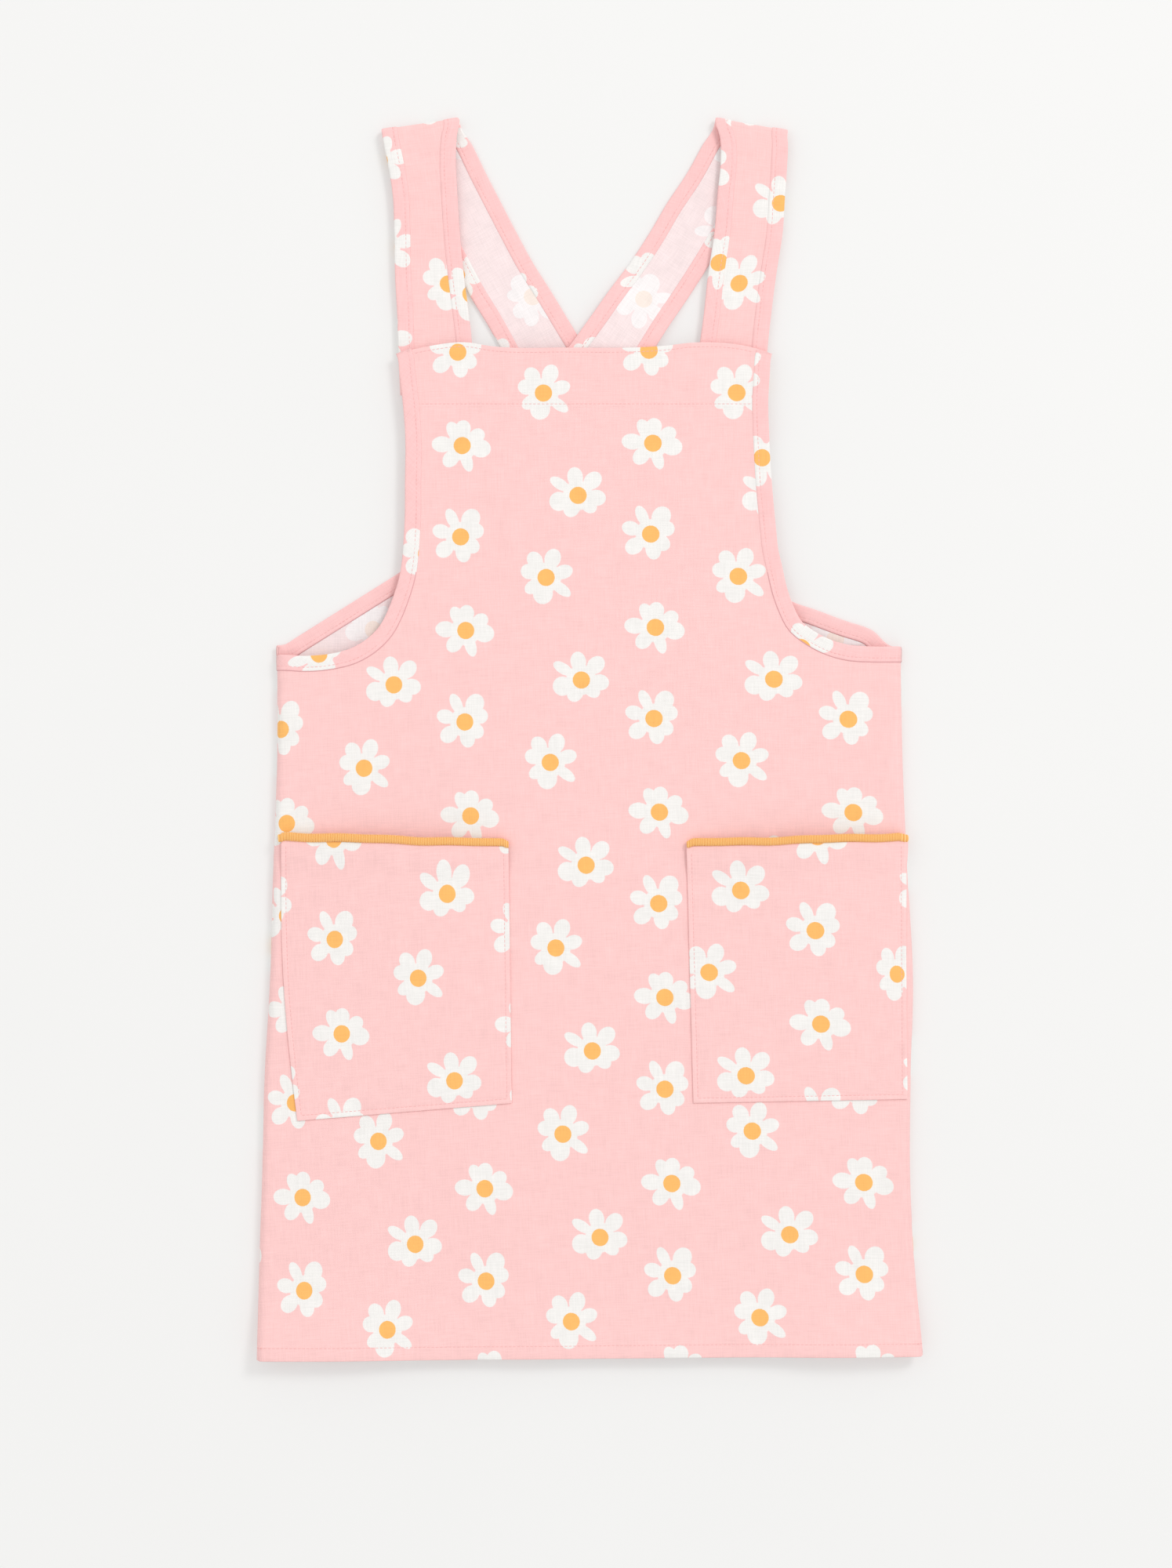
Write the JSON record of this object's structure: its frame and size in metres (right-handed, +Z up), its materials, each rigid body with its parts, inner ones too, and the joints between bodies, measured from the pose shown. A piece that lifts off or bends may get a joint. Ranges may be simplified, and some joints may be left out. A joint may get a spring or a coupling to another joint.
{
  "type": "cross back apron",
  "caption": "Bib apron laid flat: printed cloth front and open back, wide straps that cross behind the bib, bound edges, and patch pockets with ribbed trim.",
  "frame": {"origin": "on the surface that the apron lies on, below the middle of its box", "axes": "+X across the apron, to the right as seen from above; +Y from the hem towards the shoulders; +Z up from the surface"},
  "size_m": [0.466, 0.872, 0.0193],
  "materials": {
    "printed_cloth": "pink cotton and linen weave with a white daisy print",
    "binding_cloth": "folded strips of the same printed cloth",
    "trim_yarn": "ribbed orange yellow yarn"
  },
  "bodies": {
    "root": {"front_panel": "printed_cloth", "back_panel_left": "printed_cloth", "back_panel_right": "printed_cloth", "strap_left": "printed_cloth", "strap_right": "printed_cloth", "pocket_left": "printed_cloth", "pocket_right": "printed_cloth", "armhole_binding_left": "binding_cloth", "armhole_binding_right": "binding_cloth", "back_binding_left": "binding_cloth", "back_binding_right": "binding_cloth", "neck_binding_left": "binding_cloth", "neck_binding_right": "binding_cloth", "shoulder_binding_left": "binding_cloth", "shoulder_binding_right": "binding_cloth", "pocket_trim_left": "trim_yarn", "pocket_trim_right": "trim_yarn"}
  },
  "joints": []
}
